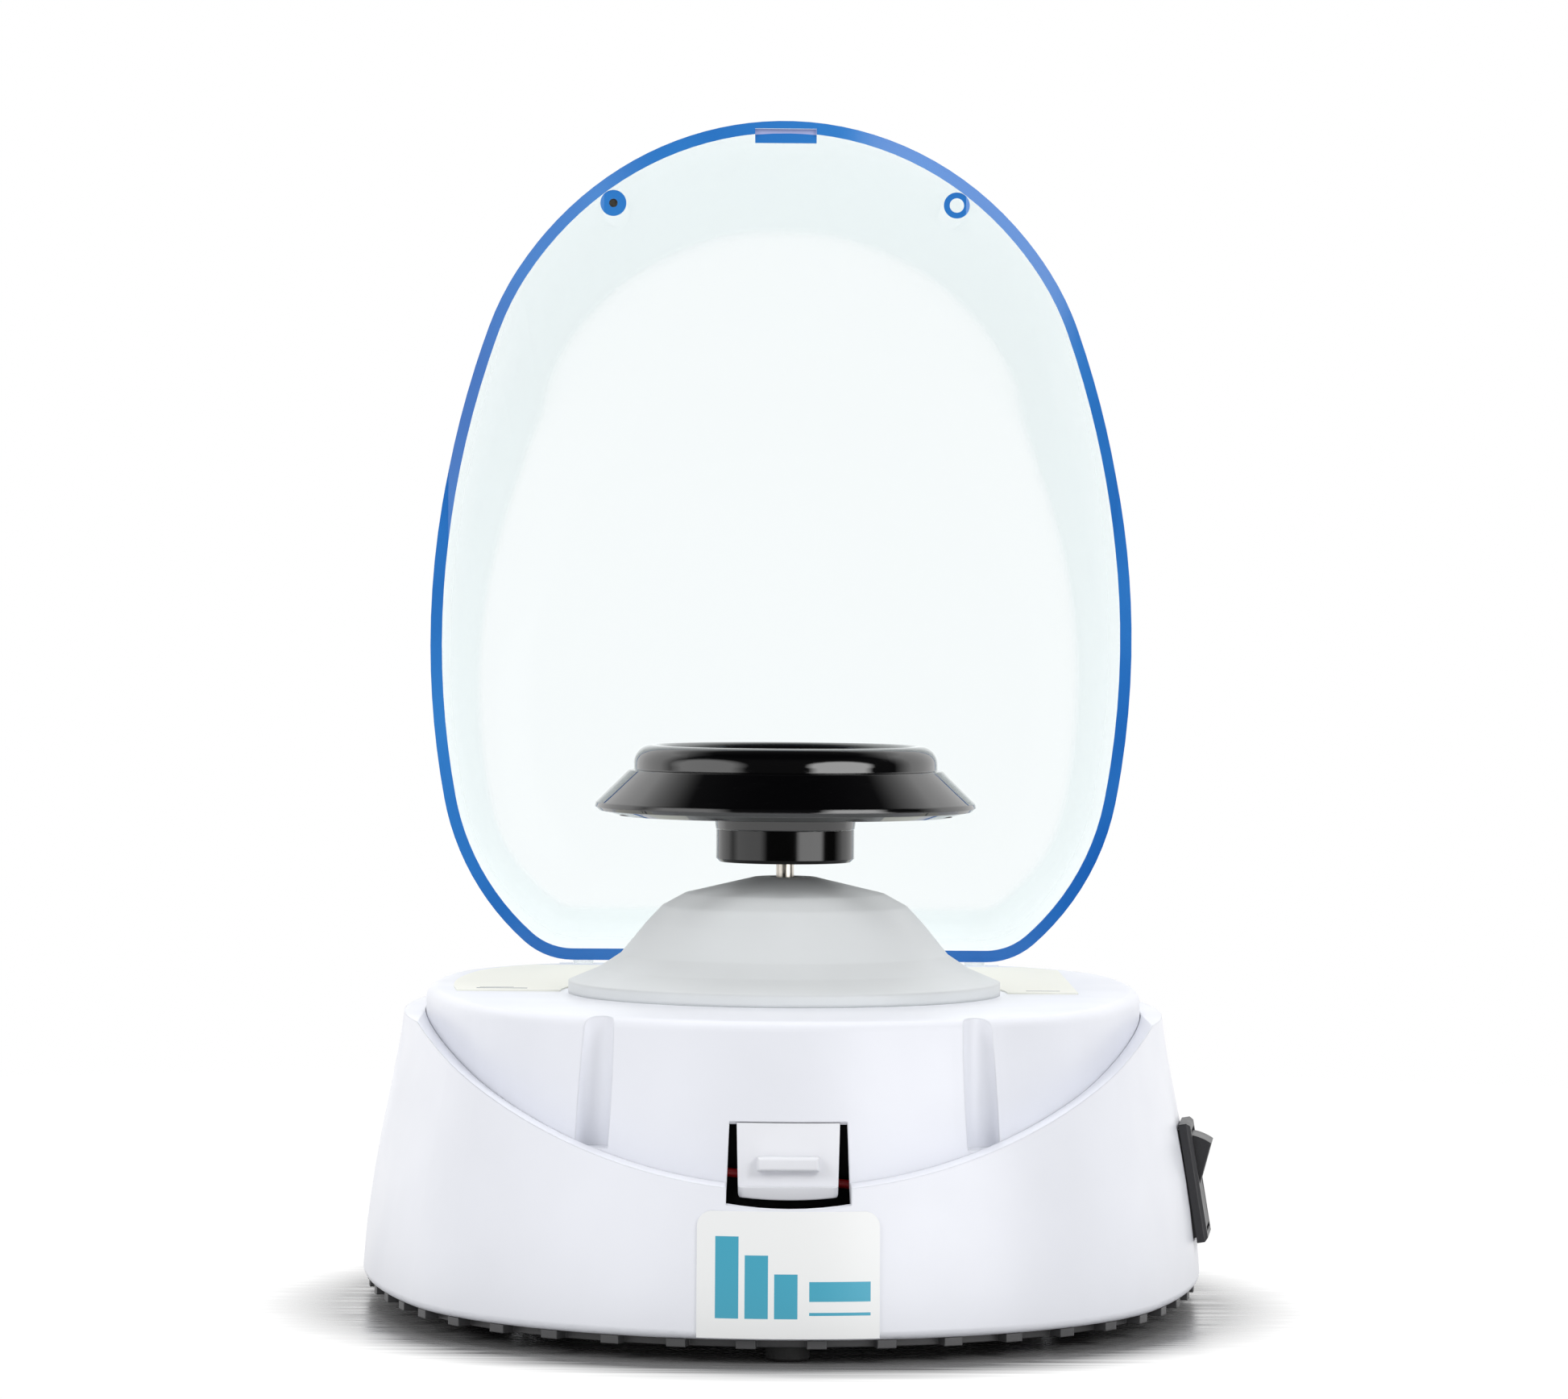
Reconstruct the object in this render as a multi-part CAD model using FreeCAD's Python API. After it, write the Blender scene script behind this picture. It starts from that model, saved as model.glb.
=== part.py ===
"""Laboratory mini centrifuge: solids in millimetres, one STEP file for each piece.

The origin is on the rotor axis at the table. +Z is up, +X is to the right and +Y is to the
back, where the lid hinge is. The lid is modelled shut and then swung open.
"""
import FreeCAD, Part
import math
import os

Vector = FreeCAD.Vector
UP = Vector(0, 0, 1)
ACROSS = Vector(1, 0, 0)
BACK = Vector(0, 1, 0)

# Case outline seen from above: a straight rear edge, then tangent arcs (radius, degrees) to the front.
REAR_Y = 82.0
REAR_HALF_WIDTH = 39.5
SIDE_ARCS = ((13.8, 42.0), (49.3, 37.4), (166.5, 31.7), (48.0, 14.0))

# Ledge that the lid rim closes on: flat at the back and sides, a big arc dipping at the front.
LEDGE_Z = 50.5
DIP_RADIUS = 102.0
DIP_CENTRE_Z = 130.0
DIP_BACK_Y = 10.0

# Lower housing: height against growth of the outline.
SKIRT_PROFILE = ((4.0, 7.9), (13.9, 7.05), (23.2, 5.75), (32.4, 4.05), (51.5, 0.7))
SKIRT_BOTTOM_Z = 4.0
SKIRT_WALL = 2.4
SKIRT_EDGE_RADIUS = 1.3
SEAM_GAP = 0.12

# Upper housing
DECK_Z = 54.8
DECK_EDGE_RADIUS = 2.0
HOUSING_WALL = 2.2
HOUSING_INSET = 3.0
HOUSING_FRONT_LEAN = 0.139
HOUSING_FRONT_INSET_AT_DECK = 7.25
HOUSING_FOOT_Z = 20.0
HOUSING_TUCK = 6.0
DECK_HOLE_RADIUS = 31.0
CLEAR_ABOVE_Z = 60.0

# Lid, shut: height, inset of the sides and back, inset of the front.
LID_PROFILE = (
    (20.0, 0.0, -0.9),
    (50.5, 0.0, 2.1),
    (72.0, 0.6, 8.6),
    (88.0, 1.6, 18.6),
    (98.0, 3.4, 30.1),
    (104.0, 5.8, 38.5),
    (108.0, 9.4, 48.0),
    (110.8, 14.5, 58.0),
    (112.0, 21.0, 68.0),
)
LID_LARGEST_OFFSET = 8.0
LID_SECTIONS = 16
LID_WALL = 2.2
RIM_GAP = 0.4
LID_OPEN_ANGLE = 90.0

# Lid hinge
HINGE_Y = 85.5
HINGE_Z = 51.5
HINGE_X = 37.5
LUG_WIDTH = 3.8
LUG_RADIUS = 2.8
EAR_RADIUS = 3.0
EAR_GAP = 4.0
EAR_WIDTH = 2.5
PIN_RADIUS = 1.0
PIN_CLEARANCE = 0.05

# Lid bosses and the flutes that they close into
BOSS_X = 32.3
BOSS_Y = -61.5
BOSS_RADIUS = 2.45
BOSS_TOP_Z = 82.0
FLUTE_RADIUS = 3.3
MAGNET_RADIUS = 0.8
MAGNET_DEPTH = 6.0
BOSS_HOLE_RADIUS = 1.35

# Release tab in the front wall
TAB_HALF_WIDTHS = (8.2, 8.5)
TAB_TOP_Z = 38.4
TAB_BOTTOM_Z = 25.8
TAB_GAP_HALF_WIDTHS = (10.2, 9.7)
TAB_GAP_BOTTOM_Z = 25.0
TAB_EDGE_RADIUS = 66.0
TAB_PIVOT_Y = -69.3
TAB_KNUCKLE_RADIUS = 0.8
TAB_PIN_RADIUS = 0.5
TAB_FRONT_INSET = 2.65
RIDGE_HALF_WIDTH = 5.1
RIDGE_Z = (30.5, 32.8)
LIP_TOP_Z = 27.9
CATCH_HALF_WIDTH = 5.75
CATCH_Z = (29.3, 30.3)
CATCH_INSET = 3.6
CATCH_RECESS = (0.95, 2.5)

# Bottom plate and feet
PLATE_Z = (2.6, 4.6)
PLATE_GROW = 4.5
RIB_COUNT = 46
RIB_WIDTH = 3.2
RIB_GROW = 7.0
FEET = ((0.0, -76.3), (-54.0, 45.0), (54.0, 45.0))
FOOT_RADIUS = 3.6
FOOT_STEM_RADIUS = 2.0
HOUSING_SCREWS = ((-44.0, -30.0), (44.0, -30.0), (-40.0, 62.0), (40.0, 62.0))
SCREW_RADIUS = 1.4
SCREW_HEAD_RADIUS = 2.8
PILLAR_RADIUS = 4.0

# Motor dome: outer profile from the shaft hole to the flange, radius and height.
DOME_PROFILE = (
    (5.4, 75.3), (17.6, 72.4), (21.6, 70.2), (24.4, 67.2),
    (28.9, 61.7), (32.7, 59.2), (38.1, 56.9),
)
DOME_WALL = 1.8
DOME_HOLE_RADIUS = 2.6
DOME_SCREW_CIRCLE = 34.5
DOME_SCREW_COUNT = 3
DOME_SCREW_RADIUS = 1.0
DOME_SCREW_CLEARANCE_RADIUS = 1.3
DOME_FLANGE = 2.2

# Motor and its mounting
MOTOR_Z = (13.0, 63.0)
MOTOR_RADIUS = 17.9
CAN_WALL = 1.4
BEARING_RADIUS = 4.0
SHAFT_RADIUS = 1.585
SHAFT_Z = (10.6, 89.5)
BEARING_CLEARANCE = 0.035
SLEEVE_RADIUS = 20.6
CRADLE_RADIUS = 23.0
CRADLE_FLANGE_RADIUS = 30.0
CRADLE_SCREW_CIRCLE = 26.5
CRADLE_TOP_Z = 46.0
CRADLE_FLANGE = 2.6
CRADLE_BORE_RADIUS = 15.0
MOTOR_SHELF_Z = 10.0
ARMATURE_RADIUS = 12.0
ARMATURE_SLOTS = 5

# Drive hub and rotor
HUB_Z = (78.0, 83.7)
HUB_RADIUS = 12.2
SPIGOT_RADIUS = 3.9
SPIGOT_TOP_Z = 90.7
ROTOR_BORE_RADIUS = 4.0
ORING_Z = 88.0
ORING_SECTION = 0.55
CREST_CENTRE = (23.6, 95.3)
CREST_RADIUS = 3.2
POCKET_COUNT = 8
POCKET_RADIUS = 5.6
POCKET_SLEEVE_RADIUS = 6.7
POCKET_POINT = (16.4, 91.5)
POCKET_END_Z = 86.3
ROTOR_UNDERSIDE_Z = 86.1
ROTOR_FLOOR_Z = 86.5
ROTOR_BOSS_RADIUS = 6.5
ROTOR_BOSS_TOP_Z = 90.2

# Rocker switch, in its own frame: X out of the wall, Z up along it.
SWITCH_POSITION = Vector(71.9, 0.0, 22.1)
SWITCH_YAW = -7.0
SWITCH_TILT = -9.5
BEZEL = (2.0, 15.0, 21.0)
SWITCH_BODY_HALF = (6.5, 9.6)
SWITCH_BODY_DEPTH = 11.0
SWITCH_OPENING_HALF = (5.5, 9.0)
ROCKER_HALF_WIDTH = 5.2
ROCKER_RADIUS = 8.7
ROCKER_PIVOT_DEPTH = 1.0
ROCKER_PIVOT_RADIUS = 1.0
ROCKER_FACE_TIP = 32.0
ROCKER_VALLEY = 3.0
ROCKER_SWING = 12.0

# Power inlet at the back
JACK_X = -32.0
JACK_Z = 20.0
JACK_FACE_Y = 89.4
JACK_SEAT_Y = 83.0
JACK_BARREL_RADIUS = 4.0
JACK_PAD_RADIUS = 8.5
JACK_FLANGE_RADIUS = 6.4
JACK_BORE_RADIUS = 2.8
JACK_PIN_RADIUS = 1.05
JACK_START_Y = 76.0
JACK_NUT_Y = 80.6
JACK_NUT_RADIUS = 6.6

# Control board on the bottom plate behind the motor
BOARD_CENTRE_Y = 53.0
BOARD_SIZE = (54.0, 36.0, 1.6)
BOARD_Z = 10.0
BOARD_HOLE_INSET = 3.5
SMALL_SCREW_RADIUS = 1.2

LABEL_THICKNESS = 0.25
LEAD_RADIUS = 0.75


def box(x_range, y_range, z_range):
    """Block between two values on each axis."""
    size = [high - low for low, high in (x_range, y_range, z_range)]
    return Part.makeBox(*size, Vector(x_range[0], y_range[0], z_range[0]))


def rod(radius, start, end):
    """Cylinder from one point to another."""
    axis = end - start
    return Part.makeCylinder(radius, axis.Length, start, axis)


def upright(radius, x, y, z_range):
    """Vertical cylinder."""
    return rod(radius, Vector(x, y, z_range[0]), Vector(x, y, z_range[1]))


def ring(inner_radius, outer_radius, z_range):
    """Vertical ring on the rotor axis."""
    return upright(outer_radius, 0, 0, z_range).cut(upright(inner_radius, 0, 0, z_range))


def turned(profile):
    """Solid of revolution about the rotor axis from points of radius and height."""
    points = [Vector(radius, 0, z) for radius, z in profile]
    face = Part.Face(Part.makePolygon(points + points[:1]))
    return face.revolve(Vector(), UP, 360)


def mirrored(shape):
    """The same shape on the other side of the middle plane."""
    return shape.mirror(Vector(), ACROSS)


def polar(radius, degrees, z=0.0):
    """Point at a radius and an angle round the rotor axis."""
    angle = math.radians(degrees)
    return Vector(radius * math.cos(angle), radius * math.sin(angle), z)


def heading_vector(degrees):
    """Unit vector from an outline arc's centre: 0 points to the back and 90 to the right."""
    angle = math.radians(degrees)
    return Vector(math.sin(angle), math.cos(angle), 0)


def outline_arcs():
    """Right-hand arcs of the case outline: centre, radius, first and last heading."""
    heading = 0.0
    radius = SIDE_ARCS[0][0]
    centre = Vector(REAR_HALF_WIDTH, REAR_Y - radius, 0)
    arcs = []
    for next_radius, sweep in SIDE_ARCS:
        centre = centre + heading_vector(heading) * (radius - next_radius)
        radius = next_radius
        arcs.append((centre, radius, heading, heading + sweep))
        heading += sweep
    front_radius = radius + centre.x / math.sin(math.radians(heading))
    centre = centre + heading_vector(heading) * (radius - front_radius)
    arcs.append((centre, front_radius, heading, 360 - heading))
    return arcs


OUTLINE = outline_arcs()
FRONT_Y = OUTLINE[-1][0].y - OUTLINE[-1][1]
HALF_WIDTH = OUTLINE[2][0].x + OUTLINE[2][1]


def plan_wire(grow, z, front_y=None, squeeze=0.0):
    """Case outline moved out by grow, then scaled in at the sides and back by squeeze.

    It is stretched from the back so that it ends at front_y.
    """
    def arc(centre, radius, first, last, side=1):
        points = []
        for heading in (first, (first + last) / 2, last):
            point = centre + heading_vector(heading) * (radius + grow)
            points.append(Vector(side * point.x, point.y, z))
        return Part.Arc(*points).toShape()

    rear_y = REAR_Y + grow
    rear_corner = Vector(REAR_HALF_WIDTH, rear_y, z)
    rear_start = Vector(-REAR_HALF_WIDTH, rear_y, z)
    edges = [Part.LineSegment(rear_start, rear_corner).toShape()]
    edges += [arc(*piece) for piece in OUTLINE]
    for centre, radius, first, last in reversed(OUTLINE[:-1]):
        edges.append(arc(centre, radius, last, first, side=-1))
    wire = Part.Wire(edges)
    if front_y is None:
        return wire
    half_width = HALF_WIDTH + grow
    stretch = (rear_y - squeeze - front_y) / (rear_y - (FRONT_Y - grow))
    matrix = FreeCAD.Matrix()
    matrix.A11 = (half_width - squeeze) / half_width
    matrix.A22 = stretch
    matrix.A24 = rear_y - squeeze - rear_y * stretch
    return wire.transformGeometry(matrix)


def plan_slab(grow, z_range):
    """Flat slab with the case outline."""
    face = Part.Face(plan_wire(grow, z_range[0]))
    return face.extrude(UP * (z_range[1] - z_range[0]))


def above_ledge(drop):
    """Everything above the ledge surface lowered by drop."""
    slab = box((-200, 200), (-200, 200), (LEDGE_Z - drop, 300))
    start = Vector(0, -200, DIP_CENTRE_Z)
    dip = rod(DIP_RADIUS + drop, start, Vector(0, DIP_BACK_Y, DIP_CENTRE_Z))
    return slab.fuse(dip)


def skirt_solid(grow):
    """Solid block inside the flared outside of the lower housing, moved out by grow."""
    wires = [plan_wire(grow + flare, z) for z, flare in SKIRT_PROFILE]
    return Part.makeLoft(wires, True, False)


def housing_front_y(z):
    """Front of the upper housing's leaning wall at a height."""
    inset = HOUSING_FRONT_INSET_AT_DECK - (DECK_Z - z) * HOUSING_FRONT_LEAN
    return FRONT_Y + inset


def housing_solid(grow, top_z):
    """Solid block inside the upper housing's wall, moved out by grow."""
    wires = [plan_wire(grow - HOUSING_INSET, z, housing_front_y(z) - grow)
             for z in (HOUSING_FOOT_Z, top_z)]
    return Part.makeLoft(wires, True, True)


def tab_axis_rod(radius, x_range):
    """Cylinder on the release tab's hinge axis."""
    start = Vector(x_range[0], TAB_PIVOT_Y, TAB_TOP_Z)
    return rod(radius, start, Vector(x_range[1], TAB_PIVOT_Y, TAB_TOP_Z))


def tapered_block(half_widths, y_range, z_range):
    """Block whose sides lean between its bottom and top half widths."""
    (low, high), (bottom, top) = half_widths, z_range
    corners = ((-low, bottom), (low, bottom), (high, top), (-high, top), (-low, bottom))
    face = Part.Face(Part.makePolygon([Vector(x, y_range[0], z) for x, z in corners]))
    return face.extrude(BACK * (y_range[1] - y_range[0]))


def below_tab_edge(z, y_range):
    """Everything below an edge that sags in a big arc to its lowest point z at the middle."""
    centre_z = z + TAB_EDGE_RADIUS
    slab = box((-30, 30), y_range, (z - 20, centre_z))
    disc = rod(TAB_EDGE_RADIUS, Vector(0, y_range[0], centre_z), Vector(0, y_range[1], centre_z))
    return slab.cut(disc)


def tab_window():
    """Hole in the upper housing for the release tab, with its hinge groove and pin sockets."""
    groove_half_width = TAB_HALF_WIDTHS[1] + 0.15
    gap = tapered_block(TAB_GAP_HALF_WIDTHS, (-80, -62), (TAB_GAP_BOTTOM_Z, TAB_TOP_Z))
    low_half_width = TAB_GAP_HALF_WIDTHS[0]
    gap = gap.fuse(box((-low_half_width, low_half_width), (-80, -62), (15, TAB_GAP_BOTTOM_Z)))
    groove = tab_axis_rod(TAB_KNUCKLE_RADIUS + 0.1, (-groove_half_width, groove_half_width))
    socket_x = (groove_half_width - 0.5, TAB_GAP_HALF_WIDTHS[1] + 1.6)
    socket = tab_axis_rod(TAB_PIN_RADIUS + PIN_CLEARANCE, socket_x)
    return gap.fuse([groove, socket, mirrored(socket)]).removeSplitter()


def dome_screw_spots():
    return [polar(DOME_SCREW_CIRCLE, 90 + index * 360 / DOME_SCREW_COUNT)[:2]
            for index in range(DOME_SCREW_COUNT)]


def upper_housing():
    outer = housing_solid(0, DECK_Z)
    top_edges = [edge for edge in outer.Edges
                 if edge.BoundBox.ZMin > DECK_Z - 0.01]
    outer = outer.makeFillet(DECK_EDGE_RADIUS, top_edges)
    shell = outer.cut(housing_solid(-HOUSING_WALL, DECK_Z - HOUSING_WALL)).cut(tab_window())
    for side in (-1, 1):
        x = side * BOSS_X
        backing = upright(FLUTE_RADIUS + HOUSING_WALL, x, BOSS_Y, (HOUSING_FOOT_Z, DECK_Z))
        shell = shell.fuse(backing.common(outer))
        ledge_z = DIP_CENTRE_Z - math.sqrt(DIP_RADIUS ** 2 - BOSS_X ** 2)
        shell = shell.cut(upright(FLUTE_RADIUS, x, BOSS_Y, (ledge_z, DECK_Z + 1)))
    shell = shell.common(above_ledge(HOUSING_TUCK))
    for x, y in HOUSING_SCREWS:
        shell = shell.fuse(upright(PILLAR_RADIUS, x, y, (PLATE_Z[1], DECK_Z - 1)))
        shell = shell.cut(upright(SCREW_RADIUS, x, y, (0, PLATE_Z[1] + 14)))
    through_deck = (DECK_Z - HOUSING_WALL - 1, CLEAR_ABOVE_Z)
    shell = shell.cut(upright(DECK_HOLE_RADIUS, 0, 0, through_deck))
    for x, y in dome_screw_spots():
        shell = shell.cut(upright(DOME_SCREW_CLEARANCE_RADIUS, x, y, through_deck))
    return shell


def hinge_rod(radius, x_range):
    """Cylinder on the lid hinge axis."""
    start = Vector(x_range[0], HINGE_Y, HINGE_Z)
    return rod(radius, start, Vector(x_range[1], HINGE_Y, HINGE_Z))


def hinge_ear(x_range):
    """Plate on the back of the lower housing that carries one end of a hinge pin."""
    outline = ((88.5, 51.5), (84.5, 42), (82, 42), (82, 50.3), (82.5, 50.3), (82.5, 51.5))
    points = [Vector(x_range[0], y, z) for y, z in outline]
    web = Part.Face(Part.makePolygon(points + points[:1])).extrude(ACROSS * (x_range[1] - x_range[0]))
    return web.fuse(hinge_rod(EAR_RADIUS, x_range))


def in_switch_frame(shape):
    """Put a shape from the switch's own frame into its place in the wall."""
    rotation = FreeCAD.Rotation(SWITCH_YAW, SWITCH_TILT, 0)
    return shape.transformed(FreeCAD.Placement(SWITCH_POSITION, rotation).toMatrix())


def jack_rod(radius, y_range):
    """Cylinder on the power inlet's axis."""
    return rod(radius, Vector(JACK_X, y_range[0], JACK_Z), Vector(JACK_X, y_range[1], JACK_Z))


def lower_housing():
    shell = skirt_solid(0)
    bottom_edges = [edge for edge in shell.Edges if edge.BoundBox.ZMax < SKIRT_BOTTOM_Z + 0.01]
    shell = shell.makeFillet(SKIRT_EDGE_RADIUS, bottom_edges).cut(above_ledge(0))
    cavity = skirt_solid(-SKIRT_WALL).cut(above_ledge(SKIRT_WALL))
    shell = shell.cut(cavity)
    shell = shell.cut(housing_solid(SEAM_GAP, DECK_Z))
    ear_edges = (HINGE_X - EAR_GAP / 2 - EAR_WIDTH, HINGE_X - EAR_GAP / 2)
    far_edges = (HINGE_X + EAR_GAP / 2, HINGE_X + EAR_GAP / 2 + EAR_WIDTH)
    notch = hinge_rod(EAR_RADIUS + 0.3, (ear_edges[1], far_edges[0]))
    holes = hinge_rod(PIN_RADIUS, (ear_edges[0] - 1, far_edges[1] + 1))
    for side in (1, -1):
        for edges in (ear_edges, far_edges):
            ear = hinge_ear(edges)
            shell = shell.fuse(ear if side == 1 else mirrored(ear))
        for tool in (notch, holes):
            shell = shell.cut(tool if side == 1 else mirrored(tool))
    shell = shell.fuse(jack_rod(JACK_PAD_RADIUS, (JACK_SEAT_Y, JACK_FACE_Y)))
    shell = shell.cut(jack_rod(JACK_BARREL_RADIUS, (JACK_START_Y, JACK_FACE_Y + 1)))
    notch_half_width = TAB_GAP_HALF_WIDTHS[0]
    tab_notch = box((-notch_half_width, notch_half_width), (-90, -62), (TAB_GAP_BOTTOM_Z, 40))
    shell = shell.cut(tab_notch.cut(below_tab_edge(TAB_GAP_BOTTOM_Z, (-90, -62))))
    depth, width, height = BEZEL
    seat = box((0, depth + 4), (-width / 2, width / 2), (-height / 2, height / 2))
    half_width, half_height = SWITCH_BODY_HALF
    hole = box((-8, 1), (-half_width, half_width), (-half_height, half_height))
    return shell.cut(in_switch_frame(seat)).cut(in_switch_frame(hole))


def even_profile(profile):
    """Smooth profile through the given points, as evenly spaced sections."""
    curve = Part.BSplineCurve()
    curve.interpolate([Vector(side, front, z) for z, side, front in profile])
    points = curve.toShape().discretize(Number=LID_SECTIONS)
    return [(point.z, point.x, point.y) for point in points]


def inner_profile(profile, wall):
    """A lid profile moved in by the wall."""
    inner = []
    for index, (z, side, front) in enumerate(profile):
        z0, side0, front0 = profile[max(index - 1, 0)]
        z1, side1, front1 = profile[min(index + 1, len(profile) - 1)]
        steep = math.hypot(side1 - side0, z1 - z0)
        drop = wall * (side1 - side0) / steep
        move = wall * (z1 - z0) / steep
        if index == len(profile) - 1:
            drop = wall
            move = wall / 2
        slope = (front1 - front0) / (z1 - z0)
        front_move = wall * math.hypot(1, slope) - slope * drop
        inner.append((z - drop, side + move, front + front_move))
    return inner


def lid_block(profile):
    """Solid block inside a lid profile."""
    wires = []
    for z, side, front in profile:
        offset = min(side, LID_LARGEST_OFFSET)
        wires.append(plan_wire(-offset, z, FRONT_Y + front, side - offset))
    return Part.makeLoft(wires, True, False)


def lid_below_rim():
    """Everything that the shut lid leaves free below its rim."""
    block = box((-200, 200), (-200, 200), (-10, LEDGE_Z + RIM_GAP))
    start = Vector(0, -200, DIP_CENTRE_Z)
    dip = rod(DIP_RADIUS - RIM_GAP, start, Vector(0, DIP_BACK_Y, DIP_CENTRE_Z))
    return block.cut(dip)


def opened(shape):
    """Swing a shape from the shut lid's place to the open lid's place."""
    turned_shape = shape.copy()
    turned_shape.rotate(Vector(0, HINGE_Y, HINGE_Z), ACROSS, -LID_OPEN_ANGLE)
    return turned_shape


def boss_end_z():
    """Height of the bosses' lower ends when the lid is shut."""
    return DIP_CENTRE_Z - math.sqrt((DIP_RADIUS - RIM_GAP) ** 2 - BOSS_X ** 2) + 0.6


def lid_shell():
    profile = even_profile(LID_PROFILE)
    outer = lid_block(profile)
    inside = lid_block(inner_profile(profile, LID_WALL))
    shell = outer.cut(inside)
    for side in (-1, 1):
        boss = upright(BOSS_RADIUS, side * BOSS_X, BOSS_Y, (HOUSING_FOOT_Z, BOSS_TOP_Z))
        shell = shell.fuse(boss.common(outer))
    catch = box((-CATCH_HALF_WIDTH, CATCH_HALF_WIDTH), (FRONT_Y + 1.2, FRONT_Y + CATCH_INSET), CATCH_Z)
    recess = box((-CATCH_HALF_WIDTH, CATCH_HALF_WIDTH),
                 (FRONT_Y + CATCH_RECESS[0], FRONT_Y + CATCH_RECESS[1]), (20, CATCH_Z[0]))
    shell = shell.cut(recess).fuse(catch).cut(lid_below_rim())
    end_z = boss_end_z()
    clear = (HOUSING_FOOT_Z - 1, end_z)
    for side, radius in ((-1, MAGNET_RADIUS), (1, BOSS_HOLE_RADIUS)):
        x = side * BOSS_X
        shell = shell.cut(upright(BOSS_RADIUS + 0.2, x, BOSS_Y, clear).common(inside))
        shell = shell.cut(upright(radius, x, BOSS_Y, (end_z, end_z + MAGNET_DEPTH)))
    for side in (-1, 1):
        x_range = (side * HINGE_X - LUG_WIDTH / 2, side * HINGE_X + LUG_WIDTH / 2)
        lug = hinge_rod(LUG_RADIUS, x_range)
        lug = lug.fuse(box(x_range, (REAR_Y - 1.5, HINGE_Y), (LEDGE_Z + 0.6, HINGE_Z + LUG_RADIUS)))
        shell = shell.fuse(lug)
        shell = shell.cut(hinge_rod(PIN_RADIUS + PIN_CLEARANCE, x_range))
    return opened(shell)


def lid_magnet():
    end_z = boss_end_z()
    return opened(upright(MAGNET_RADIUS, -BOSS_X, BOSS_Y, (end_z, end_z + MAGNET_DEPTH)))


def hinge_pins():
    half_length = EAR_GAP / 2 + EAR_WIDTH
    pin = hinge_rod(PIN_RADIUS, (HINGE_X - half_length, HINGE_X + half_length))
    return Part.makeCompound([pin, mirrored(pin)])


def release_tab():
    wall = housing_solid(-0.05, DECK_Z).cut(housing_solid(-HOUSING_WALL, DECK_Z - HOUSING_WALL))
    depth = (-80, -62)
    low_half_width, high_half_width = TAB_HALF_WIDTHS
    width = (-high_half_width, high_half_width)
    plate = tapered_block(TAB_HALF_WIDTHS, depth, (TAB_BOTTOM_Z, TAB_TOP_Z - 0.15))
    bottom_corners = [edge for edge in plate.Edges
                      if edge.BoundBox.ZMax < TAB_BOTTOM_Z + 0.01 and edge.BoundBox.YLength > 10]
    plate = plate.makeFillet(1.2, bottom_corners).cut(below_tab_edge(TAB_BOTTOM_Z, depth))
    tab = wall.common(plate)
    relief = box(width, (TAB_PIVOT_Y + 0.3, -62), (TAB_TOP_Z - 1.2, TAB_TOP_Z + 1))
    tab = tab.cut(relief).fuse(tab_axis_rod(TAB_KNUCKLE_RADIUS, width))
    front_y = FRONT_Y + TAB_FRONT_INSET
    ridge = box((-RIDGE_HALF_WIDTH, RIDGE_HALF_WIDTH), (front_y, TAB_PIVOT_Y - 1), RIDGE_Z)
    ridge = ridge.makeFillet(0.5, [edge for edge in ridge.Edges
                                   if abs(edge.CenterOfMass.y - front_y) < 0.01])
    lip = box((-low_half_width, low_half_width), (front_y, TAB_PIVOT_Y - 1.6), (TAB_BOTTOM_Z, LIP_TOP_Z))
    lip_corners = [edge for edge in lip.Edges
                   if abs(edge.CenterOfMass.y - front_y) < 0.01
                   and edge.BoundBox.XLength < 0.1]
    lip = lip.makeFillet(1.0, lip_corners).common(plate)
    tab = tab.fuse(ridge).fuse(lip)
    pin = tab_axis_rod(TAB_PIN_RADIUS, (high_half_width, TAB_GAP_HALF_WIDTHS[1] + 1.5))
    return tab.fuse([pin, mirrored(pin)])


def tab_dust_shield():
    plate = box((-14, 14), (-65, -64), (19, 47))
    for side in (-1, 1):
        edges = sorted((side * 14, side * 13))
        plate = plate.fuse(box(edges, (-65.8, -64), (34, 47)))
    return plate


def bottom_plate():
    plate = plan_slab(PLATE_GROW, PLATE_Z)
    rim = plan_wire(RIB_GROW, 0)
    points = rim.discretize(Number=RIB_COUNT + 1)[:-1]
    depth = RIB_GROW - PLATE_GROW + 1.0
    for index, point in enumerate(points):
        along = points[(index + 1) % RIB_COUNT] - points[index - 1]
        angle = math.degrees(math.atan2(along.y, along.x))
        inward = depth if along.cross(Vector() - point).z > 0 else -depth
        rib = box((-RIB_WIDTH / 2, RIB_WIDTH / 2), sorted((0, inward)), (PLATE_Z[0], SKIRT_BOTTOM_Z))
        rib.rotate(Vector(), UP, angle)
        rib.translate(Vector(point.x, point.y, 0))
        plate = plate.fuse(rib)
    for x, y in board_holes():
        plate = plate.fuse(upright(3, x, y, (PLATE_Z[0], BOARD_Z)))
        plate = plate.cut(upright(SMALL_SCREW_RADIUS, x, y, (PLATE_Z[1], BOARD_Z)))
    for x, y in HOUSING_SCREWS:
        plate = plate.cut(upright(SCREW_RADIUS + 0.1, x, y, (0, 6)))
    for x, y in FEET:
        plate = plate.cut(upright(FOOT_STEM_RADIUS, x, y, (0, 6)))
    for x, y in cradle_holes():
        plate = plate.cut(upright(SMALL_SCREW_RADIUS, x, y, (0, 6)))
    return plate


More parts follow.
